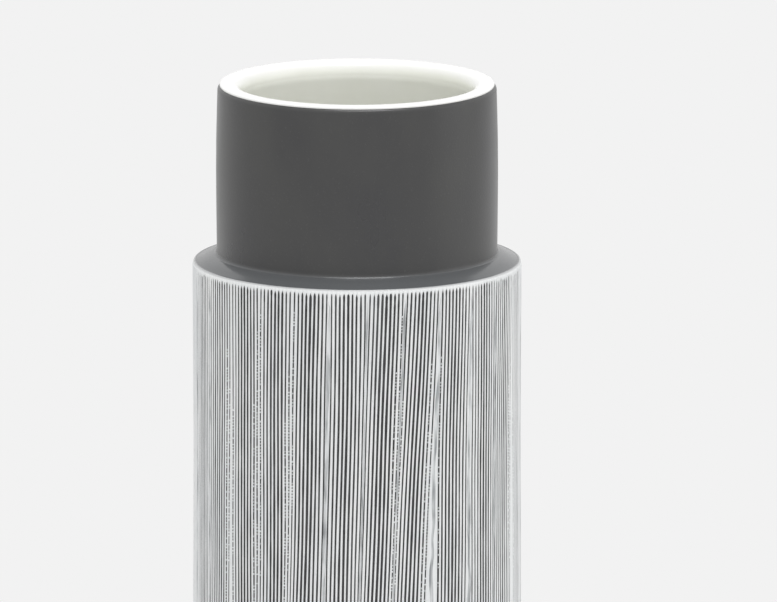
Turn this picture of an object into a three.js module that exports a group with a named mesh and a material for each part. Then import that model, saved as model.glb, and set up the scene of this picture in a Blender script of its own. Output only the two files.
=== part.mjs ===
// A straight-sided stoneware vase with a wide neck, in millimetres, +Z up, resting on z = 0.
// It is luted together from turned clay sections, coated outside with combed white slip and
// inside with a white liner glaze that rolls over the mouth.
import * as THREE from "three";
import { mergeVertices } from "three/addons/utils/BufferGeometryUtils.js";

// Overall heights.
const TOTAL_HEIGHT = 240;
const SHOULDER_Z = 180;

// Foot and floor.
const FOOT_INSET = 2.4;
const FOOT_RING_WIDTH = 8.5;
const FOOT_RECESS_DEPTH = 3.5;
const FOOT_RECESS_SLOPE = 1;
const FOOT_BEVEL_HEIGHT = 3;
const FLANGE_TOP_Z = 7;
const FLOOR_SPIGOT_HEIGHT = 6;

// Clay body wall.
const WALL_OUTER_R = 53.9;
const WALL_THICKNESS = 6.3;
const WAIST_DRAW_IN = 0.2;
const LOWER_SWELL = 0.3;
const WAIST_Z = 120;

// Luting seats: a rebate in one section takes the tongue of the next.
const SEAT_CLEARANCE = 0.3;
const SEAT_DEPTH = 4.5;
const TONGUE_THICKNESS = 2.8;
const COLLAR_THICKNESS = 2.9;

// Shoulder.
const SHOULDER_THICKNESS = 8;
const SHOULDER_WIDTH = 7.9;
const SHOULDER_OVERHANG = 0.9;
const SHOULDER_EDGE_ROUND = 0.9;
const SHOULDER_LIP_DEPTH = 1.3;

// Neck.
const NECK_THICKNESS = 7.2;
const NECK_BARREL = 0.2;
const NECK_DRAW_IN = 0.35;
const NECK_CORNER_ROUND = 1.4;
const FILLET_REACH = 6;
const FILLET_RISE = 6.6;
const FILLET_EDGE = 0.3;
const NECK_INNER_CHAMFER = 2.2;

// Slip coat.
const SLIP_THICKNESS = 0.8;
const COAT_CLEARANCE = 0.3;
const SLIP_BOTTOM_Z = 9;
const SLIP_TOP_BAND = 1.2;
const STROKES = 27;
const TEETH = 9;
const GROOVE_WIDTH = 0.52;
const STROKE_LEAN = 0.9;

// Liner glaze.
const GLAZE_THICKNESS = 0.8;
const LIP_INNER_ROUND = 3.4;
const LIP_OUTER_ROUND = 0.5;
const LIP_OVERHANG_GAP = 0.55;
const LINER_CORNER = 4;

// Facets.
const SEGMENTS = 48;
const ARC_STEPS = 3;
const FILLET_STEPS = 5;

const floorTopZ = FLANGE_TOP_Z + FLOOR_SPIGOT_HEIGHT;
const wallTopZ = SHOULDER_Z - SHOULDER_THICKNESS;
const wallInnerR = WALL_OUTER_R - WALL_THICKNESS;
const tongueR = wallInnerR + TONGUE_THICKNESS;
const shoulderR = WALL_OUTER_R + SHOULDER_OVERHANG;
const neckFootR = shoulderR - SHOULDER_WIDTH;
const neckMiddleR = neckFootR + NECK_BARREL;
const neckTopR = neckFootR - NECK_DRAW_IN;
const boreR = neckFootR - NECK_THICKNESS;
const collarR = boreR + COLLAR_THICKNESS;
const neckTopZ = TOTAL_HEIGHT - GLAZE_THICKNESS - COAT_CLEARANCE;
const slipTopZ = SHOULDER_Z - SHOULDER_LIP_DEPTH - COAT_CLEARANCE;
const linerR = boreR - COAT_CLEARANCE;
const linerBodyR = wallInnerR - COAT_CLEARANCE;

const clay = new THREE.MeshStandardMaterial({ color: "#3b3a39", roughness: 0.85, metalness: 0 });
const charcoal = new THREE.MeshStandardMaterial({ color: "#545453", roughness: 0.5, metalness: 0 });
const slip = new THREE.MeshStandardMaterial({ color: "#e8e9e8", roughness: 0.7, metalness: 0 });
const glaze = new THREE.MeshStandardMaterial({ color: "#eceee6", roughness: 0.15, metalness: 0 });

// Points of an arc about (cx, cz), rx by rz, from one angle to another in degrees.
function arc(cx, cz, rx, rz, from, to, steps = ARC_STEPS) {
  const points = [];
  for (let i = 0; i <= steps; i++) {
    const angle = THREE.MathUtils.degToRad(from + ((to - from) * i) / steps);
    points.push([cx + rx * Math.cos(angle), cz + rz * Math.sin(angle)]);
  }
  return points;
}

// A turned section: the profile runs anticlockwise, with the solid on its left.
function turned(name, profile, material) {
  const closed = profile[0][0] > 0 ? [...profile, profile[0]] : profile;
  const points = closed.map(([r, z]) => new THREE.Vector2(r, z));
  const raw = new THREE.LatheGeometry(points, SEGMENTS);
  raw.rotateX(Math.PI / 2);
  raw.deleteAttribute("normal");
  raw.deleteAttribute("uv");
  const geometry = mergeVertices(raw, 1e-4);
  geometry.computeVertexNormals();
  const mesh = new THREE.Mesh(geometry, material);
  mesh.name = name;
  return mesh;
}

// Outer radius of the clay wall at a height: a slight waist above a slight swell.
function wallRadius(z) {
  if (z <= WAIST_Z) {
    const t = z / WAIST_Z;
    return WALL_OUTER_R + LOWER_SWELL - (LOWER_SWELL + WAIST_DRAW_IN) * t;
  }
  const t = Math.min(1, (z - WAIST_Z) / (wallTopZ - WAIST_Z));
  return WALL_OUTER_R - WAIST_DRAW_IN * (1 - t);
}

// The thrown floor with its turned foot ring, and a spigot that the wall is luted onto.
function baseSlab() {
  const rimR = wallRadius(FLANGE_TOP_Z);
  const ringOuterR = WALL_OUTER_R - FOOT_INSET;
  const ringInnerR = ringOuterR - FOOT_RING_WIDTH;
  return turned(
    "base_slab",
    [
      [0, FOOT_RECESS_DEPTH],
      [ringInnerR - FOOT_RECESS_SLOPE, FOOT_RECESS_DEPTH],
      [ringInnerR, 0],
      [ringOuterR, 0],
      [rimR, FOOT_BEVEL_HEIGHT],
      [rimR, FLANGE_TOP_Z],
      [tongueR, FLANGE_TOP_Z],
      [tongueR, floorTopZ],
      [0, floorTopZ],
    ],
    clay,
  );
}

// The body cylinder, rebated inside at both ends for the floor and the shoulder.
function bodyWall() {
  const rebateR = tongueR + SEAT_CLEARANCE;
  const floorSeatZ = floorTopZ + SEAT_CLEARANCE;
  const ledgeZ = wallTopZ - SEAT_DEPTH;
  return turned(
    "body_wall",
    [
      [rebateR, FLANGE_TOP_Z],
      [wallRadius(FLANGE_TOP_Z), FLANGE_TOP_Z],
      [wallRadius(WAIST_Z), WAIST_Z],
      [wallRadius(wallTopZ), wallTopZ],
      [rebateR, wallTopZ],
      [rebateR, ledgeZ],
      [wallInnerR, ledgeZ],
      [wallInnerR, floorSeatZ],
      [rebateR, floorSeatZ],
    ],
    clay,
  );
}

// The flat shoulder, its tongue in the wall and its collar in the neck.
function shoulderRing() {
  const tongueZ = wallTopZ - SEAT_DEPTH + SEAT_CLEARANCE;
  const lipZ = SHOULDER_Z - SHOULDER_LIP_DEPTH;
  const edge = arc(
    shoulderR - SHOULDER_EDGE_ROUND,
    SHOULDER_Z - SHOULDER_EDGE_ROUND,
    SHOULDER_EDGE_ROUND,
    SHOULDER_EDGE_ROUND,
    0,
    90,
  );
  return turned(
    "shoulder_ring",
    [
      [boreR, wallTopZ],
      [wallInnerR, wallTopZ],
      [wallInnerR, tongueZ],
      [tongueR, tongueZ],
      [tongueR, wallTopZ],
      [WALL_OUTER_R, wallTopZ],
      [WALL_OUTER_R, lipZ],
      [shoulderR, lipZ],
      ...edge,
      [collarR, SHOULDER_Z],
      [collarR, SHOULDER_Z + SEAT_DEPTH],
      [boreR, SHOULDER_Z + SEAT_DEPTH],
    ],
    charcoal,
  );
}

// The neck, barely barrelled, with a small fillet where it is luted to the shoulder.
function neckWall() {
  const rebateR = collarR + SEAT_CLEARANCE;
  const seatZ = SHOULDER_Z + SEAT_DEPTH + SEAT_CLEARANCE;
  const filletR = neckFootR + FILLET_REACH;
  const filletZ = SHOULDER_Z + FILLET_EDGE + FILLET_RISE;
  const middleZ = (filletZ + neckTopZ) / 2;
  const fillet = arc(filletR, filletZ, FILLET_REACH, FILLET_RISE, 270, 180, FILLET_STEPS);
  const corner = arc(
    neckTopR - NECK_CORNER_ROUND,
    neckTopZ - NECK_CORNER_ROUND,
    NECK_CORNER_ROUND,
    NECK_CORNER_ROUND,
    0,
    90,
  );
  return turned(
    "neck_wall",
    [
      [rebateR, SHOULDER_Z],
      [filletR, SHOULDER_Z],
      ...fillet,
      [neckMiddleR, middleZ],
      ...corner,
      [boreR + NECK_INNER_CHAMFER, neckTopZ],
      [boreR, neckTopZ - NECK_INNER_CHAMFER],
      [boreR, seatZ],
      [rebateR, seatZ],
    ],
    charcoal,
  );
}

// The glassy coat inside: floor, wall, underside of the shoulder, bore and rolled lip.
function linerGlaze() {
  const floorZ = floorTopZ + COAT_CLEARANCE;
  const ceilingZ = wallTopZ - COAT_CLEARANCE;
  const inner = linerBodyR - GLAZE_THICKNESS;
  const bore = linerR - GLAZE_THICKNESS;
  const lipR = neckTopR - LIP_OVERHANG_GAP;
  const lipZ = TOTAL_HEIGHT - GLAZE_THICKNESS;
  const throatZ = neckTopZ - NECK_INNER_CHAMFER;
  const lipOuter = arc(
    lipR - LIP_OUTER_ROUND,
    TOTAL_HEIGHT - LIP_OUTER_ROUND,
    LIP_OUTER_ROUND,
    LIP_OUTER_ROUND,
    0,
    90,
  );
  const lipInner = arc(
    bore + LIP_INNER_ROUND,
    TOTAL_HEIGHT - LIP_INNER_ROUND,
    LIP_INNER_ROUND,
    LIP_INNER_ROUND,
    90,
    180,
  );
  return turned(
    "liner_glaze",
    [
      [0, floorZ],
      [linerBodyR, floorZ],
      [linerBodyR, ceilingZ],
      [linerR, ceilingZ],
      [linerR, throatZ],
      [linerR + NECK_INNER_CHAMFER, lipZ],
      [lipR, lipZ],
      ...lipOuter,
      ...lipInner,
      [bore, ceilingZ - GLAZE_THICKNESS],
      [inner - LINER_CORNER, ceilingZ - GLAZE_THICKNESS],
      [inner, ceilingZ - GLAZE_THICKNESS - LINER_CORNER],
      [inner, floorZ + GLAZE_THICKNESS + LINER_CORNER],
      [inner - LINER_CORNER, floorZ + GLAZE_THICKNESS],
      [0, floorZ + GLAZE_THICKNESS],
    ],
    glaze,
  );
}

// How far a stroke of the comb has wandered round the body, in degrees, at a share of its run.
function strokeLean(stroke, share) {
  return STROKE_LEAN * Math.sin(1.7 * stroke + 0.6) * share * share;
}

// The white slip: a thin sleeve, cut by strokes of a toothed comb that run off its lower edge.
function slipCoat() {
  const count = Math.round(STROKES) * TEETH;
  const pitch = 360 / count;
  const combTopZ = slipTopZ - SLIP_TOP_BAND;
  const rows = [combTopZ, WAIST_Z, SLIP_BOTTOM_Z];
  const positions = [];
  const triangles = [];
  const place = (degrees, r, z) => {
    const angle = THREE.MathUtils.degToRad(degrees);
    positions.push(r * Math.cos(angle), r * Math.sin(angle), z);
    return positions.length / 3 - 1;
  };
  const quad = (a, b, c, d) => triangles.push(a, b, c, a, c, d);
  const innerR = (z) => wallRadius(z) + COAT_CLEARANCE;
  // Each corner of a land is a pair of points, outer then inner.
  const pair = (degrees, z) => [
    place(degrees, innerR(z) + SLIP_THICKNESS, z),
    place(degrees, innerR(z), z),
  ];
  const lands = [];
  const crown = [];
  for (let k = 0; k < count; k++) {
    const stroke = Math.floor(k / TEETH);
    lands.push(
      rows.map((z) => {
        const share = (combTopZ - z) / (combTopZ - SLIP_BOTTOM_Z);
        const half = THREE.MathUtils.radToDeg(GROOVE_WIDTH / (2 * innerR(z)));
        const centre = k * pitch + strokeLean(stroke, share);
        const next = (k + 1) * pitch + strokeLean(Math.floor(((k + 1) % count) / TEETH), share);
        return { left: pair(centre + half, z), right: pair(next - half, z) };
      }),
    );
    crown.push(pair(k * pitch, slipTopZ));
  }
  for (let k = 0; k < count; k++) {
    const land = lands[k];
    const before = lands[(k + count - 1) % count];
    for (let i = 0; i + 1 < rows.length; i++) {
      const top = land[i];
      const low = land[i + 1];
      quad(low.left[0], low.right[0], top.right[0], top.left[0]);
      quad(low.right[1], low.left[1], top.left[1], top.right[1]);
      quad(low.left[1], low.left[0], top.left[0], top.left[1]);
      quad(low.right[0], low.right[1], top.right[1], top.right[0]);
    }
    const foot = land[rows.length - 1];
    quad(foot.left[1], foot.right[1], foot.right[0], foot.left[0]);
    // The roof of the groove before this land, then the band above both.
    const roofLeft = before[0].right;
    const roofRight = land[0].left;
    const next = crown[(k + 1) % count];
    const here = crown[k];
    quad(roofLeft[1], roofRight[1], roofRight[0], roofLeft[0]);
    triangles.push(roofLeft[0], roofRight[0], here[0]);
    quad(land[0].left[0], land[0].right[0], next[0], here[0]);
    triangles.push(roofRight[1], roofLeft[1], here[1]);
    quad(land[0].right[1], land[0].left[1], here[1], next[1]);
    quad(here[0], next[0], next[1], here[1]);
  }
  const geometry = new THREE.BufferGeometry();
  geometry.setAttribute("position", new THREE.Float32BufferAttribute(positions, 3));
  geometry.setIndex(triangles);
  geometry.computeVertexNormals();
  const mesh = new THREE.Mesh(geometry, slip);
  mesh.name = "white_slip_coat";
  return mesh;
}

const vase = new THREE.Group();
vase.name = "combed_slip_vase";
vase.add(baseSlab());
vase.add(bodyWall());
vase.add(shoulderRing());
vase.add(neckWall());
vase.add(linerGlaze());
vase.add(slipCoat());

export default vase;
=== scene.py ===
import math

import bpy
import numpy as np
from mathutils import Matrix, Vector

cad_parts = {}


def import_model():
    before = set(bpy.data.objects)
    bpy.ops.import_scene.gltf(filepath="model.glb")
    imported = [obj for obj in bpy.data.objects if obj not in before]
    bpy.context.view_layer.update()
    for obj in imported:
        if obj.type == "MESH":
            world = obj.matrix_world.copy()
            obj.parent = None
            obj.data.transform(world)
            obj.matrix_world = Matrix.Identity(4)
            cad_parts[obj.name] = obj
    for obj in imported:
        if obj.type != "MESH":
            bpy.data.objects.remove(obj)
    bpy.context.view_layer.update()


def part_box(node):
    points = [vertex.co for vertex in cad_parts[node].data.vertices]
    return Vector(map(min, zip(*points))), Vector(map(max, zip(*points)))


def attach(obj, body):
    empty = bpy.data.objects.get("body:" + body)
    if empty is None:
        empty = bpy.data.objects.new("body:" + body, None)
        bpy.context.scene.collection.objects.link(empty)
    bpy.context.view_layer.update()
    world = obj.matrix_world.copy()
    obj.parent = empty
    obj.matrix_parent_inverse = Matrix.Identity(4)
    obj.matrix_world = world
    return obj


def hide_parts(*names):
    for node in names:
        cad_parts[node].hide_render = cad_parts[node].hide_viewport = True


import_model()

MM = 0.001
LOW, HIGH = 0, 1
X, Z = 0, 2


def packed(node, corner, axis):
    """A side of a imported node's box, in millimetres."""
    return round(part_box(node)[corner][axis] / MM, 2)


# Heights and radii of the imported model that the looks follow. Sizes are in millimetres
# throughout, apart from lamps and camera, which stand in metres.
TOTAL_HEIGHT = packed("liner_glaze", HIGH, Z)
COLLAR_TOP_Z = packed("shoulder_ring", HIGH, Z)
SHOULDER_Z = packed("neck_wall", LOW, Z)
WALL_TOP_Z = packed("body_wall", HIGH, Z)
LINER_BOTTOM_Z = packed("liner_glaze", LOW, Z)
SLAB_TOP_Z = packed("base_slab", HIGH, Z)
SLIP_BOTTOM_Z = packed("white_slip_coat", LOW, Z)
WALL_BOTTOM_Z = packed("body_wall", LOW, Z)
SHOULDER_R = packed("shoulder_ring", HIGH, X)
LINER_R = packed("liner_glaze", HIGH, X)

# Seats and bores of the sections.
SEAT_GAP = 0.3
BORE_R = 39.7
COLLAR_R = 42.6
TONGUE_R = 50.4
WALL_BORE_R = LINER_R + SEAT_GAP
WALL_OUTER_R = 53.9

# The body's outline, a slight waist above a slight swell.
COAT_OUTER_R = SHOULDER_R + 0.2
WAIST_Z = 120.0
WAIST_DRAW_IN = 0.2
LOWER_SWELL = 0.3
SLIP_TOP_Z = SHOULDER_Z - 0.4
LIP_UNDERSIDE_Z = SHOULDER_Z - 1.4
SHOULDER_EDGE_ROUND = 0.8
SHOULDER_FLAT_R = 50.0

# The ring round the neck's foot, which slopes from the edge up to a tight fillet.
RING_OUTER_R = 53.7
RING_INNER_R = 51.5
RING_RISE = 0.85
FILLET_FOOT_R = 48.3
FILLET_TOP_RISE = 3.9
FILLET_REACH = 1.4
FILLET_HEIGHT = 1.6

# The neck, barely barrelled: height above the shoulder, and radius.
NECK_BARREL = ((8, 46.93), (13, 46.98), (22, 47.06), (31, 47.1), (41, 47.02), (51, 46.8))
NECK_TOP_R = 46.6
NECK_CORNER_REACH = 1.4
NECK_CORNER_HEIGHT = 1.5
NECK_THROAT_R = 41.9
NECK_THROAT_DROP = 2.6

# The wall's bare lower end and the foot.
FLANGE_R = 54.15
FLANGE_BEVEL = 0.4
BARE_BAND_TOP = (54.3, 8.6)
COMBED_FROM_Z = 10.5
WALL_ROWS = 24
HIDDEN_GAP = 0.1
FOOT_RECESS_DEPTH = 3.5
RECESS_R = 41.6
RECESS_ROUND = 0.6
FOOT_INNER_BEVEL = (43.0, 0.35)
FOOT_INNER_R = 43.4
FOOT_OUTER_R = 51.0
FOOT_ROUND_REACH = 3.1
FOOT_ROUND_HEIGHT = 3.2

# The liner and its lip.
GLAZE_THICKNESS = 0.8
THROAT_Z = TOTAL_HEIGHT - 4.0
LIP_SEAT_Z = TOTAL_HEIGHT - 0.85
LIP_SEAT_INNER_R = 41.6
LIP_SEAT_OUTER_R = 45.8
LIP_ROUND_R = 45.3
LIP_ROUND_REACH = 0.6
LIP_ROUND_HEIGHT = 0.5
LIP_CROWN = (43.6, TOTAL_HEIGHT - 0.03)
LIP_ROLL_REACH = 3.2
LIP_ROLL_HEIGHT = 4.8
LIP_DRIP = 0.15
LIP_DRIP_DROPS = (5.6, 6.4)
BORE_MIDDLE_Z = SHOULDER_Z + 25.0
BORE_LOWER_Z = SHOULDER_Z - 4.0
BORE_ROUND = 5.0
CEILING_END_R = 44.0
CEILING_ROUND = 5.0
FLOOR_ROUND = 6.0

# The combed slip.
STROKES = 27
TEETH = 9
TOOTH_PITCH_DEG = 1.452
SLIP_RELIEF = 0.15
CENTRE_GROOVE = 0.78
GROOVE_LOSS_PER_TOOTH = 0.08
PLAIN_BAND = 0.6
TOP_ROWS_REACH = 6.0
TOP_ROWS = 12
LOWER_ROWS = 84
RING_SEGMENTS = 256

# Seeds of the random draws.
COMB_SEED = 27
BEAD_SEED = 5
CRUMB_SEED = 11
SMEAR_SEED = 9

# How the comb was drawn: strokes sway by so many degrees at so many radians per 100 mm, and
# each line trembles at so many radians per mm, varies in width, chatters, and starts and
# tapers on its own.
SWAYS = ((0.22, 2.6), (0.1, 7.0))
ANY_PHASE = 6.28
TREMBLE_DEG = 0.05
TREMBLE_RATES = (0.05, 0.12)
GROOVE_SPREAD = 0.035
CHATTER = 0.14
CROWDED_LOSS = 0.35
START_SPREAD = (-0.5, 0.3)
START_TAPER = 1.2

# The lands between the lines: where they stand up, how they sink and where they end.
LAND_FLAT_UNDER = 0.06
LAND_STANDS_OVER = 0.3
LAND_VANISHES_UNDER = 0.02
LAND_BEVEL = 0.1
LAND_BEVEL_SHARE = 0.25
LAND_BEVEL_DROP = 0.03
LAND_ROOT = 0.03
RAGGED_END = 1.2
TAIL_LENGTH = 1.0
EDGE_DROP = 0.36
EDGE_ROOT_DROP = 0.3

# Lean of each stroke over 100 mm of its run, in degrees round the body. Those that face the
# picture lean as seen; the rest lean by a formula.
FRONT_LEANS = {
    24: -0.5,
    25: -0.6,
    26: -0.5,
    0: -1.0,
    1: -1.9,
    2: -2.3,
    3: -3.6,
    4: -4.8,
    5: -1.6,
    6: -0.8,
    7: -0.9,
}
FRONT_START_DEG = 233.8
BACK_LEAN_SWING = 1.5
BACK_LEAN_STEP = 2.4
BACK_LEAN_START = 0.8
BACK_LEAN_MEAN = -0.5

# Seams are numbered by the stroke before them. These front ones are beaded or hold no smear.
BEADED_SEAMS = (26, 0, 3, 4)
UNSMEARED_SEAMS = (26, 0)
LAST_FRONT_SEAM = 6

# Crumbs along the beaded lines.
CRUMB_SPACING = 1.05
CRUMB_RADIUS = 0.22
CRUMBS_KEPT = 0.68
CRUMB_STRETCH_LEAST = (0.6, 0.6, 0.6)
CRUMB_STRETCH_MOST = (1.3, 1.0, 1.7)
CRUMB_SINK = 0.14
CRUMB_TOP_Z = SHOULDER_Z - 4.0
CRUMB_START_SPREAD = (0, 50)
CRUMB_RUN = (50, 110)

# Grey smears down the seams where two strokes part by at least the least room, in radians.
SMEAR_TOP_Z = SHOULDER_Z - 3.5
SMEAR_BOTTOM_Z = 12.0
SMEAR_TAPER = 9.0
SMEAR_PROUD = 0.012
SMEAR_LEAST_ROOM = 0.012
SMEAR_HALF_WIDTH = 0.55
SMEAR_ROOM_SHARE = 0.28
SMEAR_SWAY = 0.12
SMEAR_SWELL = 0.25
SMEAR_SWELL_RATE = 0.21

# Sizes of the patterns in the finishes. Grain, grit and streaks are finer on the real vase,
# too fine to show, so they are drawn as coarse as they need to be seen.
CHARCOAL_CLOUD = 20.0
CHARCOAL_GRAIN = 0.625
THROWING_RING = 20 / 7
SLIP_CLOUD = 50 / 3
SLIP_GRAIN = 5 / 6
CLAY_GRIT = 10 / 9
CLAY_SMEAR = 25 / 3
STREAK = 0.625
STREAK_PATCH = 20 / 3
LINER_CLOUD = 25.0
LINER_WAVE = 12.5

# A noise lies mostly between these values.
NOISE_LOW = 0.3
NOISE_HIGH = 0.7

# Sockets of a Mix node for colours.
SHARE, FIRST, SECOND, COLOUR = 0, 6, 7, 2


def srgb(hexa):
    """An sRGB hex colour as linear RGBA."""
    parts = [int(hexa[i : i + 2], 16) / 255 for i in (1, 3, 5)]
    return [c / 12.92 if c <= 0.04045 else ((c + 0.055) / 1.055) ** 2.4 for c in parts] + [1.0]


def set_inputs(tree, node, inputs):
    """A socket is linked to its input, and anything else becomes the input's value."""
    for key, value in inputs.items():
        if isinstance(value, bpy.types.NodeSocket):
            tree.links.new(value, node.inputs[key])
        else:
            node.inputs[key].default_value = value


def add(tree, kind, inputs=None, **settings):
    """A node with its settings and inputs."""
    node = tree.nodes.new(kind)
    for key, value in settings.items():
        setattr(node, key, value)
    set_inputs(tree, node, inputs or {})
    return node


def outer_radius(z):
    """Radius of the slip's surface at a height."""
    z = np.asarray(z, float)
    low = COAT_OUTER_R + LOWER_SWELL - (LOWER_SWELL + WAIST_DRAW_IN) * z / WAIST_Z
    share = np.clip((z - WAIST_Z) / (WALL_TOP_Z - WAIST_Z), 0, 1)
    return np.where(z <= WAIST_Z, low, COAT_OUTER_R - WAIST_DRAW_IN * (1 - share))


def arc(cx, cz, rx, rz, start, end, steps):
    """Points of an elliptic arc, angles in degrees."""
    angles = np.radians(np.linspace(start, end, steps + 1))
    return [(cx + rx * math.cos(a), cz + rz * math.sin(a)) for a in angles]


def finish_mesh(name, verts, faces, material, sharp=35.0):
    """A smooth piece with its material. Edges over so many degrees stay sharp."""
    mesh = bpy.data.meshes.new(name)
    mesh.from_pydata([Vector(v) * MM for v in verts], [], faces)
    mesh.validate()
    mesh.polygons.foreach_set("use_smooth", [True] * len(mesh.polygons))
    mesh.set_sharp_from_angle(angle=math.radians(sharp))
    mesh.materials.append(material)
    obj = bpy.data.objects.new(name, mesh)
    bpy.context.scene.collection.objects.link(obj)
    return obj


def turned(name, profile, material, segments=RING_SEGMENTS):
    """A turned solid. The profile runs anticlockwise, from axis to axis or closed on itself."""
    closed = profile[0][0] > 0
    rings, verts, faces = [], [], []
    turns = np.radians(np.arange(segments) * 360 / segments)
    for r, z in profile:
        if r <= 0:
            rings.append([len(verts)])
            verts.append((0, 0, z))
            continue
        rings.append(list(range(len(verts), len(verts) + segments)))
        verts.extend((r * math.cos(t), r * math.sin(t), z) for t in turns)
    count = len(rings)
    for i in range(count if closed else count - 1):
        a, b = rings[i], rings[(i + 1) % count]
        for j in range(segments):
            k = (j + 1) % segments
            if len(a) == 1:
                faces.append((a[0], b[k], b[j]))
            elif len(b) == 1:
                faces.append((a[j], a[k], b[0]))
            else:
                faces.append((a[j], a[k], b[k], b[j]))
    return finish_mesh(name, verts, faces, material)


def surface(name):
    """A new material, its tree, its shader, and the place on the vase that patterns follow."""
    material = bpy.data.materials.new(name)
    material.use_nodes = True
    tree = material.node_tree
    place = add(tree, "ShaderNodeTexCoord").outputs["Object"]
    return material, tree, tree.nodes["Principled BSDF"], place


def scale_of(size):
    """A noise's scale for cells of this size in millimetres."""
    return 1 / (size * MM)


def axis_distance(tree, place):
    """Distance from the turning axis in millimetres."""
    flat = add(tree, "ShaderNodeVectorMath", {0: place, 1: (1 / MM, 1 / MM, 0)}, operation="MULTIPLY")
    length = add(tree, "ShaderNodeVectorMath", {0: flat.outputs[0]}, operation="LENGTH")
    return length.outputs["Value"]


def charcoal_satin_glaze():
    """Satin charcoal glaze on a thrown neck: dark and nearly even, with a sheen that brightens
    towards the sides, a fine grain, and a paler band round the neck's foot: a painted highlight on the
    upward-facing ring and fillet, which are also smoother."""
    material, tree, shader, place = surface("charcoal_satin_glaze")
    tall = add(tree, "ShaderNodeMapping", {"Vector": place, "Scale": (1, 1, 0.5)}).outputs[0]
    flat = add(tree, "ShaderNodeMapping", {"Vector": place, "Scale": (0.08, 0.08, 1)}).outputs[0]
    height = add(tree, "ShaderNodeSeparateXYZ", {0: place}).outputs["Z"]
    cloud = add(
        tree,
        "ShaderNodeTexNoise",
        {"Vector": tall, "Scale": scale_of(CHARCOAL_CLOUD), "Detail": 4.0},
    ).outputs["Fac"]
    grain = add(
        tree,
        "ShaderNodeTexNoise",
        {"Vector": place, "Scale": scale_of(CHARCOAL_GRAIN), "Detail": 2.0},
    ).outputs["Fac"]
    rings = add(
        tree,
        "ShaderNodeTexNoise",
        {"Vector": flat, "Scale": scale_of(THROWING_RING), "Detail": 2.0},
    ).outputs["Fac"]
    tone = add(
        tree,
        "ShaderNodeMapRange",
        {"Value": cloud, "From Min": NOISE_LOW, "From Max": NOISE_HIGH},
    )
    body = add(
        tree,
        "ShaderNodeMix",
        {SHARE: tone.outputs[0], FIRST: srgb("#3a3a3b"), SECOND: srgb("#414140")},
        data_type="RGBA",
    ).outputs[COLOUR]
    # Paler up the sloped ring and into the fillet: painted highlight where these upward faces catch the
    # overhead lamp. The glaze is also made smoother there.
    painted_highlight_band = add(
        tree,
        "ShaderNodeMapRange",
        {
            "Value": height,
            "From Min": (SHOULDER_Z + 3.3) * MM,
            "From Max": (SHOULDER_Z + 2.3) * MM,
        },
    ).outputs[0]
    with_painted_highlight = add(
        tree,
        "ShaderNodeMix",
        {SHARE: painted_highlight_band, FIRST: body, SECOND: srgb("#595b5d")},
        data_type="RGBA",
    ).outputs[COLOUR]
    specks = add(
        tree,
        "ShaderNodeMapRange",
        {"Value": grain, "From Min": 0.62, "From Max": 0.8, "To Max": 0.35},
    ).outputs[0]
    colour = add(
        tree,
        "ShaderNodeMix",
        {SHARE: specks, FIRST: with_painted_highlight, SECOND: srgb("#5a5a59")},
        data_type="RGBA",
    ).outputs[COLOUR]
    satin = add(
        tree,
        "ShaderNodeMapRange",
        {
            "Value": cloud,
            "From Min": NOISE_LOW,
            "From Max": NOISE_HIGH,
            "To Min": 0.27,
            "To Max": 0.35,
        },
    ).outputs[0]
    smoother = add(tree, "ShaderNodeMath", {0: painted_highlight_band, 1: 0.12}, operation="MULTIPLY").outputs[0]
    gloss = add(tree, "ShaderNodeMath", {0: satin, 1: smoother}, operation="SUBTRACT").outputs[0]
    relief = add(tree, "ShaderNodeMath", {0: grain, 1: rings}, operation="ADD").outputs[0]
    bump = add(tree, "ShaderNodeBump", {"Height": relief, "Strength": 0.12, "Distance": 0.25 * MM})
    set_inputs(tree, shader, {"Base Color": colour, "Roughness": gloss, "Normal": bump.outputs[0]})
    return material


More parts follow.
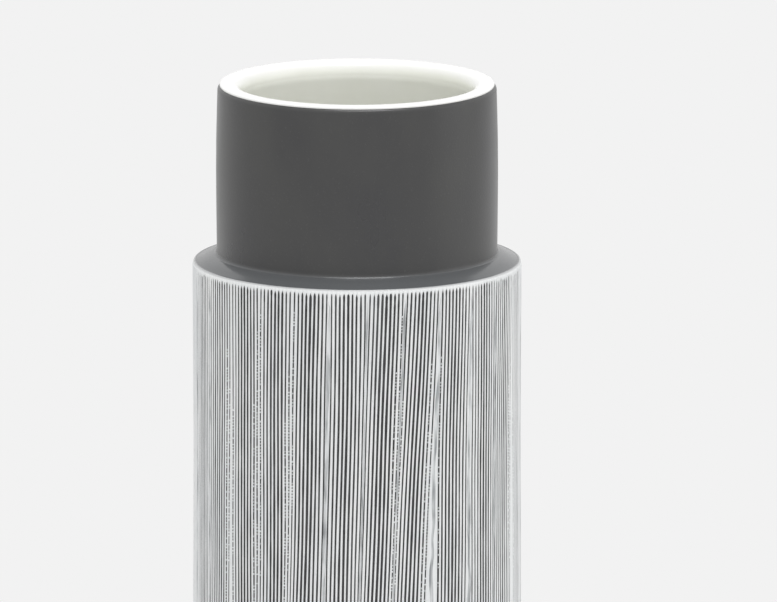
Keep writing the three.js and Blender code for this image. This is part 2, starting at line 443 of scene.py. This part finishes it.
def charcoal_shoulder_glaze_painted_lit():
    """The same glaze lying level and shinier, painted paler than the neck's as light on its level top,
    running into the white slip at the outer edge in a fuzzy paler line."""
    material, tree, shader, place = surface("charcoal_shoulder_glaze_painted_lit")
    height = add(tree, "ShaderNodeSeparateXYZ", {0: place}).outputs["Z"]
    cloud = add(
        tree,
        "ShaderNodeTexNoise",
        {"Vector": place, "Scale": scale_of(CHARCOAL_CLOUD), "Detail": 4.0},
    ).outputs["Fac"]
    grain = add(
        tree,
        "ShaderNodeTexNoise",
        {"Vector": place, "Scale": scale_of(CHARCOAL_GRAIN), "Detail": 2.0},
    ).outputs["Fac"]
    tone = add(
        tree,
        "ShaderNodeMapRange",
        {"Value": cloud, "From Min": NOISE_LOW, "From Max": NOISE_HIGH},
    )
    # Paler greys than the neck's, though it is the same glaze: painted light for the level top.
    body = add(
        tree,
        "ShaderNodeMix",
        {SHARE: tone.outputs[0], FIRST: srgb("#57595b"), SECOND: srgb("#5d5f61")},
        data_type="RGBA",
    ).outputs[COLOUR]
    fuzz = add(
        tree,
        "ShaderNodeMapRange",
        {
            "Value": grain,
            "From Min": NOISE_LOW,
            "From Max": NOISE_HIGH,
            "To Min": -0.12,
            "To Max": 0.12,
        },
    ).outputs[0]
    reach = add(tree, "ShaderNodeMath", {0: axis_distance(tree, place), 1: fuzz}, operation="ADD")
    near_edge = add(
        tree,
        "ShaderNodeMapRange",
        {"Value": reach.outputs[0], "From Min": 53.9, "From Max": 54.45},
    ).outputs[0]
    paler = add(
        tree,
        "ShaderNodeMix",
        {SHARE: near_edge, FIRST: body, SECOND: srgb("#b9babb")},
        data_type="RGBA",
    ).outputs[COLOUR]
    over_edge = add(
        tree,
        "ShaderNodeMapRange",
        {
            "Value": height,
            "From Min": (SHOULDER_Z - 0.25) * MM,
            "From Max": (SHOULDER_Z - 0.6) * MM,
        },
    ).outputs[0]
    colour = add(
        tree,
        "ShaderNodeMix",
        {SHARE: over_edge, FIRST: paler, SECOND: srgb("#e6e7e8")},
        data_type="RGBA",
    ).outputs[COLOUR]
    bump = add(tree, "ShaderNodeBump", {"Height": grain, "Strength": 0.12, "Distance": 0.2 * MM})
    set_inputs(tree, shader, {"Base Color": colour, "Roughness": 0.2, "Normal": bump.outputs[0]})
    return material


def white_slip():
    """Combed white slip: dry off-white, faintly cloudy, with a chalky grain."""
    material, tree, shader, place = surface("white_combed_slip")
    cloud_place = add(tree, "ShaderNodeMapping", {"Vector": place, "Scale": (1, 1, 0.4)}).outputs[0]
    grain_place = add(tree, "ShaderNodeMapping", {"Vector": place, "Scale": (1, 1, 0.5)}).outputs[0]
    cloud = add(
        tree,
        "ShaderNodeTexNoise",
        {"Vector": cloud_place, "Scale": scale_of(SLIP_CLOUD), "Detail": 4.0},
    ).outputs["Fac"]
    grain = add(
        tree,
        "ShaderNodeTexNoise",
        {"Vector": grain_place, "Scale": scale_of(SLIP_GRAIN), "Detail": 3.0},
    ).outputs["Fac"]
    tone = add(
        tree,
        "ShaderNodeMapRange",
        {"Value": cloud, "From Min": NOISE_LOW, "From Max": NOISE_HIGH},
    )
    body = add(
        tree,
        "ShaderNodeMix",
        {SHARE: tone.outputs[0], FIRST: srgb("#e3e5e6"), SECOND: srgb("#ebecec")},
        data_type="RGBA",
    ).outputs[COLOUR]
    chalk = add(
        tree,
        "ShaderNodeMapRange",
        {"Value": grain, "From Min": 0.6, "From Max": 0.8, "To Max": 0.5},
    ).outputs[0]
    colour = add(
        tree,
        "ShaderNodeMix",
        {SHARE: chalk, FIRST: body, SECOND: srgb("#c4c6c8")},
        data_type="RGBA",
    ).outputs[COLOUR]
    bump = add(tree, "ShaderNodeBump", {"Height": grain, "Strength": 0.25, "Distance": 0.12 * MM})
    set_inputs(
        tree,
        shader,
        {
            "Base Color": colour,
            "Roughness": 0.78,
            "Specular IOR Level": 0.25,
            "Normal": bump.outputs[0],
        },
    )
    return material


def dark_clay():
    """Unglazed dark stoneware, bare in the comb lines and at the foot: near black, gritty and
    dry, with faint upright smears of slip."""
    material, tree, shader, place = surface("dark_unglazed_stoneware")
    tall = add(tree, "ShaderNodeMapping", {"Vector": place, "Scale": (1, 1, 0.15)}).outputs[0]
    grit = add(
        tree,
        "ShaderNodeTexNoise",
        {"Vector": place, "Scale": scale_of(CLAY_GRIT), "Detail": 4.0},
    ).outputs["Fac"]
    smear = add(
        tree,
        "ShaderNodeTexNoise",
        {"Vector": tall, "Scale": scale_of(CLAY_SMEAR), "Detail": 3.0},
    ).outputs["Fac"]
    tone = add(tree, "ShaderNodeMapRange", {"Value": grit, "From Min": 0.35, "From Max": 0.7})
    body = add(
        tree,
        "ShaderNodeMix",
        {SHARE: tone.outputs[0], FIRST: srgb("#2d2d2f"), SECOND: srgb("#3d3d3e")},
        data_type="RGBA",
    ).outputs[COLOUR]
    film = add(
        tree,
        "ShaderNodeMapRange",
        {"Value": smear, "From Min": 0.55, "From Max": 0.75, "To Max": 0.3},
    ).outputs[0]
    colour = add(
        tree,
        "ShaderNodeMix",
        {SHARE: film, FIRST: body, SECOND: srgb("#77797b")},
        data_type="RGBA",
    ).outputs[COLOUR]
    bump = add(tree, "ShaderNodeBump", {"Height": grit, "Strength": 0.3, "Distance": 0.2 * MM})
    set_inputs(tree, shader, {"Base Color": colour, "Roughness": 0.8, "Normal": bump.outputs[0]})
    return material


def smeared_slip():
    """Slip dragged over with wet clay: mid grey in long upright streaks."""
    material, tree, shader, place = surface("smeared_grey_slip")
    long = add(tree, "ShaderNodeMapping", {"Vector": place, "Scale": (1, 1, 0.05)}).outputs[0]
    tall = add(tree, "ShaderNodeMapping", {"Vector": place, "Scale": (1, 1, 0.5)}).outputs[0]
    streak = add(
        tree,
        "ShaderNodeTexNoise",
        {"Vector": long, "Scale": scale_of(STREAK), "Detail": 3.0},
    ).outputs["Fac"]
    patch = add(
        tree,
        "ShaderNodeTexNoise",
        {"Vector": tall, "Scale": scale_of(STREAK_PATCH), "Detail": 3.0},
    ).outputs["Fac"]
    both = add(tree, "ShaderNodeMath", {0: streak, 1: patch}, operation="ADD").outputs[0]
    tone = add(tree, "ShaderNodeMapRange", {"Value": both, "From Min": 0.8, "From Max": 1.2})
    colour = add(
        tree,
        "ShaderNodeMix",
        {SHARE: tone.outputs[0], FIRST: srgb("#8f9294"), SECOND: srgb("#dfe1e2")},
        data_type="RGBA",
    ).outputs[COLOUR]
    set_inputs(tree, shader, {"Base Color": colour, "Roughness": 0.75})
    return material


def liner_glaze():
    """Glossy white glaze with a faint green cast where it lies thick inside, plain white on the
    lip, with slow waves that soften what it reflects."""
    material, tree, shader, place = surface("white_liner_glaze")
    squat = add(tree, "ShaderNodeMapping", {"Vector": place, "Scale": (1, 1, 2.5)}).outputs[0]
    height = add(tree, "ShaderNodeSeparateXYZ", {0: place}).outputs["Z"]
    cloud = add(
        tree,
        "ShaderNodeTexNoise",
        {"Vector": place, "Scale": scale_of(LINER_CLOUD), "Detail": 3.0},
    ).outputs["Fac"]
    waves = add(
        tree,
        "ShaderNodeTexNoise",
        {"Vector": squat, "Scale": scale_of(LINER_WAVE), "Detail": 2.0},
    ).outputs["Fac"]
    tone = add(
        tree,
        "ShaderNodeMapRange",
        {"Value": cloud, "From Min": NOISE_LOW, "From Max": NOISE_HIGH},
    )
    inside = add(
        tree,
        "ShaderNodeMix",
        {SHARE: tone.outputs[0], FIRST: srgb("#f2f3ea"), SECOND: srgb("#f6f7f0")},
        data_type="RGBA",
    ).outputs[COLOUR]
    near_lip = add(
        tree,
        "ShaderNodeMapRange",
        {
            "Value": height,
            "From Min": (TOTAL_HEIGHT - 3.0) * MM,
            "From Max": (TOTAL_HEIGHT - 0.8) * MM,
        },
    ).outputs[0]
    colour = add(
        tree,
        "ShaderNodeMix",
        {SHARE: near_lip, FIRST: inside, SECOND: srgb("#f1f1ef")},
        data_type="RGBA",
    ).outputs[COLOUR]
    bump = add(tree, "ShaderNodeBump", {"Height": waves, "Strength": 0.1, "Distance": 0.5 * MM})
    set_inputs(tree, shader, {"Base Color": colour, "Roughness": 0.16, "Normal": bump.outputs[0]})
    return material


CHARCOAL = charcoal_satin_glaze()
SHOULDER = charcoal_shoulder_glaze_painted_lit()
SLIP = white_slip()
CLAY = dark_clay()
GLAZE = liner_glaze()
SMEAR = smeared_slip()


def show(obj, *nodes):
    """The piece rides on the vase and stands for these nodes."""
    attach(obj, "root")
    if nodes:
        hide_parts(*nodes)
    return obj


# The turned sections and the liner.
def neck():
    top = TOTAL_HEIGHT - GLAZE_THICKNESS
    seat_r = COLLAR_R + SEAT_GAP
    seat_z = COLLAR_TOP_Z + SEAT_GAP
    fillet_z = SHOULDER_Z + FILLET_TOP_RISE
    corner_r = NECK_TOP_R - NECK_CORNER_REACH
    corner_z = top - NECK_CORNER_HEIGHT
    profile = [(seat_r, SHOULDER_Z), (RING_OUTER_R, SHOULDER_Z)]
    profile += [(RING_INNER_R, SHOULDER_Z + RING_RISE)]
    profile += arc(FILLET_FOOT_R, fillet_z, FILLET_REACH, FILLET_HEIGHT, 270, 180, 10)
    profile += [(radius, SHOULDER_Z + rise) for rise, radius in NECK_BARREL]
    profile += arc(corner_r, corner_z, NECK_CORNER_REACH, NECK_CORNER_HEIGHT, 0, 90, 8)
    profile += [(NECK_THROAT_R, top), (BORE_R, top - NECK_THROAT_DROP)]
    profile += [(BORE_R, seat_z), (seat_r, seat_z)]
    return turned("charcoal_neck", profile, CHARCOAL)


def shoulder():
    edge_r = SHOULDER_R - SHOULDER_EDGE_ROUND
    edge_z = SHOULDER_Z - SHOULDER_EDGE_ROUND
    profile = [(BORE_R, WALL_TOP_Z), (WALL_OUTER_R, WALL_TOP_Z)]
    profile += [(WALL_OUTER_R, LIP_UNDERSIDE_Z), (SHOULDER_R, LIP_UNDERSIDE_Z)]
    profile += arc(edge_r, edge_z, SHOULDER_EDGE_ROUND, SHOULDER_EDGE_ROUND, 0, 90, 8)
    profile += [(SHOULDER_FLAT_R, SHOULDER_Z), (COLLAR_R, SHOULDER_Z)]
    profile += [(COLLAR_R, COLLAR_TOP_Z), (BORE_R, COLLAR_TOP_Z)]
    return turned("charcoal_shoulder", profile, SHOULDER)


def wall():
    """The dark wall that shows in the comb lines, behind the slip's surface by its relief."""
    rebate_r = TONGUE_R + SEAT_GAP
    top = LIP_UNDERSIDE_Z - HIDDEN_GAP
    ledge = WALL_TOP_Z - HIDDEN_GAP
    heights = np.linspace(COMBED_FROM_Z, top, WALL_ROWS)
    profile = [(rebate_r, WALL_BOTTOM_Z), (FLANGE_R, WALL_BOTTOM_Z), BARE_BAND_TOP]
    profile += [(float(outer_radius(z)) - SLIP_RELIEF, float(z)) for z in heights]
    profile += [(rebate_r, top), (rebate_r, ledge), (WALL_BORE_R, ledge)]
    profile += [(WALL_BORE_R, LINER_BOTTOM_Z), (rebate_r, LINER_BOTTOM_Z)]
    return turned("dark_clay_wall", profile, CLAY)


def foot():
    recess_z = FOOT_RECESS_DEPTH - RECESS_ROUND
    profile = [(0, FOOT_RECESS_DEPTH), (RECESS_R, FOOT_RECESS_DEPTH)]
    profile += arc(RECESS_R, recess_z, RECESS_ROUND, RECESS_ROUND, 90, 0, 3)[1:]
    profile += [FOOT_INNER_BEVEL, (FOOT_INNER_R, 0.0), (FOOT_OUTER_R, 0.0)]
    profile += arc(
        FOOT_OUTER_R, FOOT_ROUND_HEIGHT, FOOT_ROUND_REACH, FOOT_ROUND_HEIGHT, 270, 360, 8
    )[1:]
    profile += [(FLANGE_R, WALL_BOTTOM_Z - FLANGE_BEVEL), (WALL_OUTER_R, WALL_BOTTOM_Z)]
    profile += [(TONGUE_R, WALL_BOTTOM_Z), (TONGUE_R, SLAB_TOP_Z), (0, SLAB_TOP_Z)]
    return turned("turned_foot", profile, CLAY)


def liner():
    back_r = BORE_R - SEAT_GAP
    bore_r = back_r - GLAZE_THICKNESS
    chamber_r = LINER_R - GLAZE_THICKNESS
    floor_z = LINER_BOTTOM_Z + GLAZE_THICKNESS
    back_ceiling_z = WALL_TOP_Z - SEAT_GAP
    ceiling_z = back_ceiling_z - GLAZE_THICKNESS
    drip_z, drip_end_z = (TOTAL_HEIGHT - drop for drop in LIP_DRIP_DROPS)
    # Up the back of the glaze, from the middle of the floor to the lip's seat.
    profile = [(0, LINER_BOTTOM_Z), (LINER_R, LINER_BOTTOM_Z), (LINER_R, back_ceiling_z)]
    profile += [(back_r, back_ceiling_z), (back_r, THROAT_Z)]
    profile += [(LIP_SEAT_INNER_R, LIP_SEAT_Z), (LIP_SEAT_OUTER_R, LIP_SEAT_Z)]
    # Over the lip, with a slight drip under its roll.
    lip_z = TOTAL_HEIGHT - LIP_ROUND_HEIGHT
    roll_z = TOTAL_HEIGHT - LIP_ROLL_HEIGHT
    profile += arc(LIP_ROUND_R, lip_z, LIP_ROUND_REACH, LIP_ROUND_HEIGHT, 0, 90, 6)
    profile += [LIP_CROWN]
    profile += arc(bore_r + LIP_ROLL_REACH, roll_z, LIP_ROLL_REACH, LIP_ROLL_HEIGHT, 90, 180, 14)
    profile += [(bore_r - LIP_DRIP, drip_z), (bore_r, drip_end_z)]
    # Down the bore, out under the shoulder and down to the floor.
    profile += [(bore_r, BORE_MIDDLE_Z), (bore_r, BORE_LOWER_Z)]
    fall = BORE_LOWER_Z - ceiling_z
    profile += arc(bore_r + BORE_ROUND, BORE_LOWER_Z, BORE_ROUND, fall, 180, 270, 6)[1:]
    profile += [(CEILING_END_R, ceiling_z)]
    ceiling_centre = (chamber_r - CEILING_ROUND, ceiling_z - CEILING_ROUND)
    profile += arc(*ceiling_centre, CEILING_ROUND, CEILING_ROUND, 90, 0, 6)[1:]
    profile += [(chamber_r, floor_z + FLOOR_ROUND)]
    floor_centre = (chamber_r - FLOOR_ROUND, floor_z + FLOOR_ROUND)
    profile += arc(*floor_centre, FLOOR_ROUND, FLOOR_ROUND, 0, -90, 8)[1:]
    profile += [(0, floor_z)]
    return turned("white_liner_and_lip", profile, GLAZE)


# The combed slip and what lies on it.
def stroke_lean(stroke):
    """Degrees that a stroke moves round the body in 100 mm of its run."""
    swing = math.sin(BACK_LEAN_STEP * stroke + BACK_LEAN_START)
    return FRONT_LEANS.get(stroke, BACK_LEAN_SWING * swing + BACK_LEAN_MEAN)


def smooth_noise(rng, count):
    """Random values that follow their neighbours."""
    raw = rng.normal(0, 1, count + 4)
    return np.convolve(raw, [0.1, 0.25, 0.3, 0.25, 0.1], "valid")


def comb_rows():
    """Heights of the slip's points, close together where the lines start."""
    top = np.linspace(SLIP_TOP_Z, SLIP_TOP_Z - TOP_ROWS_REACH, TOP_ROWS)
    return np.concatenate([top, np.linspace(top[-1], SLIP_BOTTOM_Z, LOWER_ROWS)[1:]])


def comb_lines(rng, rows):
    """Angle in radians and half width in millimetres of each line at each height."""
    drop = (SLIP_TOP_Z - rows) / 100.0
    centres = []
    for stroke in range(STROKES):
        phases = rng.uniform(0, ANY_PHASE, len(SWAYS))
        sway = sum(size * np.sin(rate * drop + phase) for (size, rate), phase in zip(SWAYS, phases))
        start = FRONT_START_DEG + (stroke + 0.5) * 360.0 / STROKES
        centres.append(start + stroke_lean(stroke) * drop + sway - sway[0])
    half = TEETH * TOOTH_PITCH_DEG / 2
    outermost = (TEETH - 1) / 2
    angles, widths = [], []
    for stroke, here in enumerate(centres):
        after = centres[(stroke + 1) % STROKES] + (360 if stroke + 1 == STROKES else 0)
        before = centres[stroke - 1] - (360 if stroke == 0 else 0)
        lap_right = np.maximum(0, (here + half) - (after - half))
        lap_left = np.maximum(0, (before + half) - (here - half))
        for tooth in range(TEETH):
            side = tooth - outermost
            # Where two strokes overlap, their outer lines crowd together and narrow.
            lap = lap_right if side > 0 else lap_left
            squeeze = np.sign(side) * lap / 2 * (abs(side) / (TEETH / 2)) ** 3
            rate = rng.uniform(*TREMBLE_RATES)
            tremble = TREMBLE_DEG * np.sin(rows * rate + rng.uniform(0, ANY_PHASE))
            angles.append(np.radians(here + side * TOOTH_PITCH_DEG - squeeze + tremble))
            worn = GROOVE_LOSS_PER_TOOTH * abs(side)
            wide = CENTRE_GROOVE - worn + rng.normal(0, GROOVE_SPREAD)
            chatter = 1 + CHATTER * smooth_noise(rng, len(rows))
            crowded = np.clip(lap / TOOTH_PITCH_DEG, 0, 1) * (abs(side) / outermost) ** 2
            begin = SLIP_TOP_Z - PLAIN_BAND + rng.uniform(*START_SPREAD)
            fade = np.clip((begin - rows) / START_TAPER, 0, 1)
            widths.append(wide / 2 * chatter * (1 - CROWDED_LOSS * crowded) * fade)
    return np.array(angles), np.array(widths)


COMB_RNG = np.random.default_rng(COMB_SEED)
ROWS = comb_rows()
ANGLES, HALF_WIDTHS = comb_lines(COMB_RNG, ROWS)


def slip_coat():
    """The lands of white slip left standing between the comb lines."""
    radius = outer_radius(ROWS)
    left = ANGLES + HALF_WIDTHS / radius
    right = np.roll(ANGLES, -1, axis=0) - np.roll(HALF_WIDTHS, -1, axis=0) / radius
    right[-1] += 2 * math.pi
    span = (right - left) * radius
    stand = np.clip((span - LAND_FLAT_UNDER) / LAND_STANDS_OVER, 0, 1)
    # The coat runs up over the shoulder's rounded edge and thins out at its lower edge.
    rise = np.clip((ROWS - LIP_UNDERSIDE_Z) / (SLIP_TOP_Z - LIP_UNDERSIDE_Z), 0, 1)
    ragged = COMB_RNG.uniform(0.0, RAGGED_END, len(ANGLES))[:, None]
    tail = np.clip((ROWS[None, :] - SLIP_BOTTOM_Z - ragged) / TAIL_LENGTH, 0, 1)
    height = SLIP_RELIEF * stand * tail - EDGE_DROP * rise[None, :] ** 2
    root = radius - SLIP_RELIEF - LAND_ROOT - EDGE_ROOT_DROP * rise
    crown = radius - SLIP_RELIEF + height
    # Where two lines cross, the land between them closes to nothing.
    crossing = span < LAND_VANISHES_UNDER
    middle = (left + right) / 2
    left = np.where(crossing, middle, left)
    right = np.where(crossing, middle, right)
    bevel = np.minimum(LAND_BEVEL, np.maximum(span, 0) * LAND_BEVEL_SHARE) / radius
    flank = crown - LAND_BEVEL_DROP * stand
    columns = [
        (left, root),
        (left + bevel, flank),
        ((left + right) / 2, crown),
        (right - bevel, flank),
        (right, root),
    ]
    points = np.empty((len(ANGLES), len(ROWS), len(columns), 3))
    for c, (turn, r) in enumerate(columns):
        points[:, :, c, 0] = r * np.cos(turn)
        points[:, :, c, 1] = r * np.sin(turn)
        points[:, :, c, 2] = ROWS
    index = np.arange(points.size // 3).reshape(points.shape[:3])
    a, b = index[:, :-1, :-1], index[:, :-1, 1:]
    c, d = index[:, 1:, 1:], index[:, 1:, :-1]
    faces = np.stack([a, d, c, b], axis=-1).reshape(-1, 4)
    return finish_mesh("combed_white_slip", points.reshape(-1, 3), faces.tolist(), SLIP, sharp=80.0)


def beaded_behind(seam):
    """Behind, every third seam is beaded and holds no smear."""
    return seam > LAST_FRONT_SEAM and seam % 3 == 1


def crumb_tree():
    """Geometry Nodes that set crumbs along a line, like beads, each stretched on its own."""
    tree = bpy.data.node_groups.new("slip_crumbs", "GeometryNodeTree")
    face = tree.interface
    face.new_socket("Geometry", in_out="INPUT", socket_type="NodeSocketGeometry")
    for label, kind in (
        ("Spacing", "NodeSocketFloat"),
        ("Crumb Radius", "NodeSocketFloat"),
        ("Kept Share", "NodeSocketFloat"),
        ("Seed", "NodeSocketInt"),
        ("Material", "NodeSocketMaterial"),
    ):
        face.new_socket(label, in_out="INPUT", socket_type=kind)
    face.new_socket("Geometry", in_out="OUTPUT", socket_type="NodeSocketGeometry")
    given = add(tree, "NodeGroupInput").outputs
    line = add(tree, "GeometryNodeMeshToCurve", {"Mesh": given["Geometry"]})
    beads = add(
        tree,
        "GeometryNodeResampleCurve",
        {"Curve": line.outputs["Curve"], "Length": given["Spacing"]},
        mode="LENGTH",
    )
    crumb = add(tree, "GeometryNodeMeshIcoSphere", {"Radius": given["Crumb Radius"], "Subdivisions": 1})
    soft = add(tree, "GeometryNodeSetShadeSmooth", {"Geometry": crumb.outputs["Mesh"]})
    stretch = add(
        tree,
        "FunctionNodeRandomValue",
        {"Min": CRUMB_STRETCH_LEAST, "Max": CRUMB_STRETCH_MOST, "Seed": given["Seed"]},
        data_type="FLOAT_VECTOR",
    )
    kept = add(
        tree,
        "FunctionNodeRandomValue",
        {"Probability": given["Kept Share"], "Seed": given["Seed"]},
        data_type="BOOLEAN",
    )
    chosen = [output for output in kept.outputs if output.type == "BOOLEAN"][0]
    placed = add(
        tree,
        "GeometryNodeInstanceOnPoints",
        {
            "Points": beads.outputs["Curve"],
            "Selection": chosen,
            "Instance": soft.outputs["Geometry"],
            "Scale": stretch.outputs["Value"],
        },
    )
    real = add(tree, "GeometryNodeRealizeInstances", {"Geometry": placed.outputs["Instances"]})
    dressed = add(
        tree,
        "GeometryNodeSetMaterial",
        {"Geometry": real.outputs["Geometry"], "Material": given["Material"]},
    )
    add(tree, "NodeGroupOutput", {"Geometry": dressed.outputs["Geometry"]})
    return tree


def beaded_lines():
    """The three lines at each beaded seam, each over a stretch of its own, as loose edges."""
    rng = np.random.default_rng(BEAD_SEED)
    verts, edges = [], []
    for seam in range(STROKES):
        if seam not in BEADED_SEAMS and not beaded_behind(seam):
            continue
        last = seam * TEETH + TEETH - 1
        for line in (last - 1, last, (last + 1) % len(ANGLES)):
            high = CRUMB_TOP_Z - rng.uniform(*CRUMB_START_SPREAD)
            low = high - rng.uniform(*CRUMB_RUN)
            fresh = True
            for turn, z in zip(ANGLES[line], ROWS):
                if not low < z < high:
                    fresh = True
                    continue
                r = float(outer_radius(z)) - CRUMB_SINK
                verts.append((r * math.cos(turn), r * math.sin(turn), z))
                if not fresh:
                    edges.append((len(verts) - 2, len(verts) - 1))
                fresh = False
    mesh = bpy.data.meshes.new("beaded_lines")
    mesh.from_pydata([Vector(v) * MM for v in verts], edges, [])
    return mesh


def crumbs():
    """White crumbs where the comb chattered, kept as a plain mesh."""
    carrier = bpy.data.objects.new("beaded_lines", beaded_lines())
    bpy.context.scene.collection.objects.link(carrier)
    tree = crumb_tree()
    live = carrier.modifiers.new("crumbs", "NODES")
    live.node_group = tree
    given = {
        "Spacing": CRUMB_SPACING * MM,
        "Crumb Radius": CRUMB_RADIUS * MM,
        "Kept Share": CRUMBS_KEPT,
        "Seed": CRUMB_SEED,
        "Material": SLIP,
    }
    for item in tree.interface.items_tree:
        if item.in_out == "INPUT" and item.name in given:
            live[item.identifier] = given[item.name]
    bpy.context.view_layer.update()
    graph = bpy.context.evaluated_depsgraph_get()
    kept = bpy.data.meshes.new_from_object(carrier.evaluated_get(graph))
    bpy.data.objects.remove(carrier)
    obj = bpy.data.objects.new("slip_crumbs", kept)
    bpy.context.scene.collection.objects.link(obj)
    return obj


def smears():
    """Thin grey drags of clay and slip down the seams where two strokes part."""
    rng = np.random.default_rng(SMEAR_SEED)
    verts, faces = [], []
    for seam in range(STROKES):
        if seam in UNSMEARED_SEAMS or beaded_behind(seam):
            continue
        last = seam * TEETH + TEETH - 1
        left = ANGLES[last]
        right = ANGLES[(last + 1) % len(ANGLES)] + (2 * math.pi if seam == STROKES - 1 else 0)
        sway = 0.5 + SMEAR_SWAY * smooth_noise(rng, len(ROWS))
        fresh = True
        for i, z in enumerate(ROWS):
            room = right[i] - left[i]
            if z > SMEAR_TOP_Z or z < SMEAR_BOTTOM_Z or room <= SMEAR_LEAST_ROOM:
                fresh = True
                continue
            r = float(outer_radius(z)) + SMEAR_PROUD
            middle = left[i] + room * sway[i]
            ends = min(1.0, (SMEAR_TOP_Z - z) / SMEAR_TAPER, (z - SMEAR_BOTTOM_Z) / SMEAR_TAPER)
            swell = 1 + SMEAR_SWELL * math.sin(z * SMEAR_SWELL_RATE + seam)
            half = min(SMEAR_HALF_WIDTH / r, room * SMEAR_ROOM_SHARE) * swell * ends
            for turn in (middle - half, middle + half):
                verts.append((r * math.cos(turn), r * math.sin(turn), z))
            if not fresh:
                n = len(verts)
                faces.append((n - 4, n - 2, n - 1, n - 3))
            fresh = False
    return finish_mesh("grey_slip_smears", verts, faces, SMEAR)


show(neck(), "neck_wall")
show(shoulder(), "shoulder_ring")
show(wall(), "body_wall")
show(foot(), "base_slab")
show(liner(), "liner_glaze")
show(slip_coat(), "white_slip_coat")
show(crumbs())
show(smears())

# Floor, world, light and camera.
BACKDROP = "#f2f2f2"
FLOOR_COLOUR = "#efefef"
FLOOR_HALF_SIDE = 6000.0
SHADOW_R = 110.0
BACKDROP_R = 260.0
SKY_LEVELS = (0.66, 0.9)
FRONT_MORE = 0.2
BEHIND_LESS = -0.22
CAMERA_DISTANCE = 5.5
CAMERA_LIFT = math.radians(11.05)
MM_PER_PIXEL = 0.3343
IMAGE_WIDTH = 777
SENSOR_WIDTH = 36
VIEW_RIGHT = 10.5
VIEW_DOWN = 14.04


def floor():
    """Pale floor: it keeps the shadow near the foot and turns into the plain backdrop further out."""
    material, tree, shader, place = surface("pale_floor")
    inputs = {"Base Color": srgb(FLOOR_COLOUR), "Roughness": 0.9, "Specular IOR Level": 0.0}
    set_inputs(tree, shader, inputs)
    far = add(
        tree,
        "ShaderNodeMapRange",
        {"Value": axis_distance(tree, place), "From Min": SHADOW_R, "From Max": BACKDROP_R},
    ).outputs[0]
    seen = add(tree, "ShaderNodeLightPath").outputs["Is Camera Ray"]
    share = add(tree, "ShaderNodeMath", {0: far, 1: seen}, operation="MULTIPLY").outputs[0]
    plain = add(tree, "ShaderNodeEmission", {"Color": srgb(BACKDROP), "Strength": 1.0})
    blend = add(
        tree,
        "ShaderNodeMixShader",
        {0: share, 1: shader.outputs[0], 2: plain.outputs[0]},
    )
    set_inputs(tree, tree.nodes["Material Output"], {"Surface": blend.outputs[0]})
    side = FLOOR_HALF_SIDE
    corners = [(-side, -side, 0), (side, -side, 0), (side, side, 0), (-side, side, 0)]
    finish_mesh("floor", corners, [(0, 1, 2, 3)], material)


def world():
    """Even studio light, stronger from above and from the front; the background shows plain."""
    sky = bpy.data.worlds.new("studio")
    bpy.context.scene.world = sky
    sky.use_nodes = True
    tree = sky.node_tree
    tree.nodes.clear()
    path = add(tree, "ShaderNodeLightPath").outputs
    seen = add(
        tree,
        "ShaderNodeMath",
        {0: path["Is Camera Ray"], 1: path["Is Glossy Ray"]},
        operation="MAXIMUM",
    )
    seen = add(
        tree,
        "ShaderNodeMath",
        {0: seen.outputs[0], 1: path["Is Transmission Ray"]},
        operation="MAXIMUM",
    )
    way = add(tree, "ShaderNodeTexCoord").outputs["Generated"]
    parts = add(tree, "ShaderNodeSeparateXYZ", {0: way}).outputs
    above = add(
        tree,
        "ShaderNodeMapRange",
        {"Value": parts["Z"], "To Min": SKY_LEVELS[0], "To Max": SKY_LEVELS[1]},
    )
    behind = add(
        tree,
        "ShaderNodeMapRange",
        {"Value": parts["Y"], "From Min": -1.0, "To Min": FRONT_MORE, "To Max": BEHIND_LESS},
    )
    level = add(
        tree,
        "ShaderNodeMath",
        {0: above.outputs[0], 1: behind.outputs[0]},
        operation="ADD",
    )
    lit = add(
        tree,
        "ShaderNodeBackground",
        {"Strength": level.outputs[0], "Color": srgb("#ffffff")},
    )
    shown = add(tree, "ShaderNodeBackground", {"Color": srgb(BACKDROP), "Strength": 1.0})
    blend = add(
        tree,
        "ShaderNodeMixShader",
        {0: seen.outputs[0], 1: lit.outputs[0], 2: shown.outputs[0]},
    )
    add(tree, "ShaderNodeOutputWorld", {"Surface": blend.outputs[0]})


def softbox(name, place, aim, size, watts):
    """A square lamp of this side at a place, turned towards its aim."""
    light = bpy.data.lights.new(name, "AREA")
    light.size = size
    light.energy = watts
    obj = bpy.data.objects.new(name, light)
    obj.location = place
    obj.rotation_euler = (Vector(aim) - Vector(place)).to_track_quat("-Z", "Y").to_euler()
    bpy.context.scene.collection.objects.link(obj)


def camera():
    """A long lens from the front, a little above the shoulder."""
    up = Vector((0, math.sin(CAMERA_LIFT), math.cos(CAMERA_LIFT)))
    back = Vector((0, -math.cos(CAMERA_LIFT), math.sin(CAMERA_LIFT)))
    aim = Vector((VIEW_RIGHT, 0, SHOULDER_Z)) * MM - up * VIEW_DOWN * MM
    cam = bpy.data.cameras.new("camera")
    cam.sensor_width = SENSOR_WIDTH
    cam.lens = SENSOR_WIDTH * CAMERA_DISTANCE / (MM_PER_PIXEL * IMAGE_WIDTH * MM)
    cam.clip_end = 100
    obj = bpy.data.objects.new("camera", cam)
    obj.location = aim + CAMERA_DISTANCE * back
    obj.rotation_euler = (math.pi / 2 - CAMERA_LIFT, 0, 0)
    bpy.context.scene.collection.objects.link(obj)
    bpy.context.scene.camera = obj


floor()
world()
softbox("overhead", place=(0.1, -0.25, 1.55), aim=(0, 0, 0.2), size=0.7, watts=8.8)
softbox("side_right", place=(1.4, -0.1, 0.45), aim=(0, 0, 0.14), size=0.9, watts=1.3)
camera()
bpy.context.scene.view_settings.view_transform = "Standard"
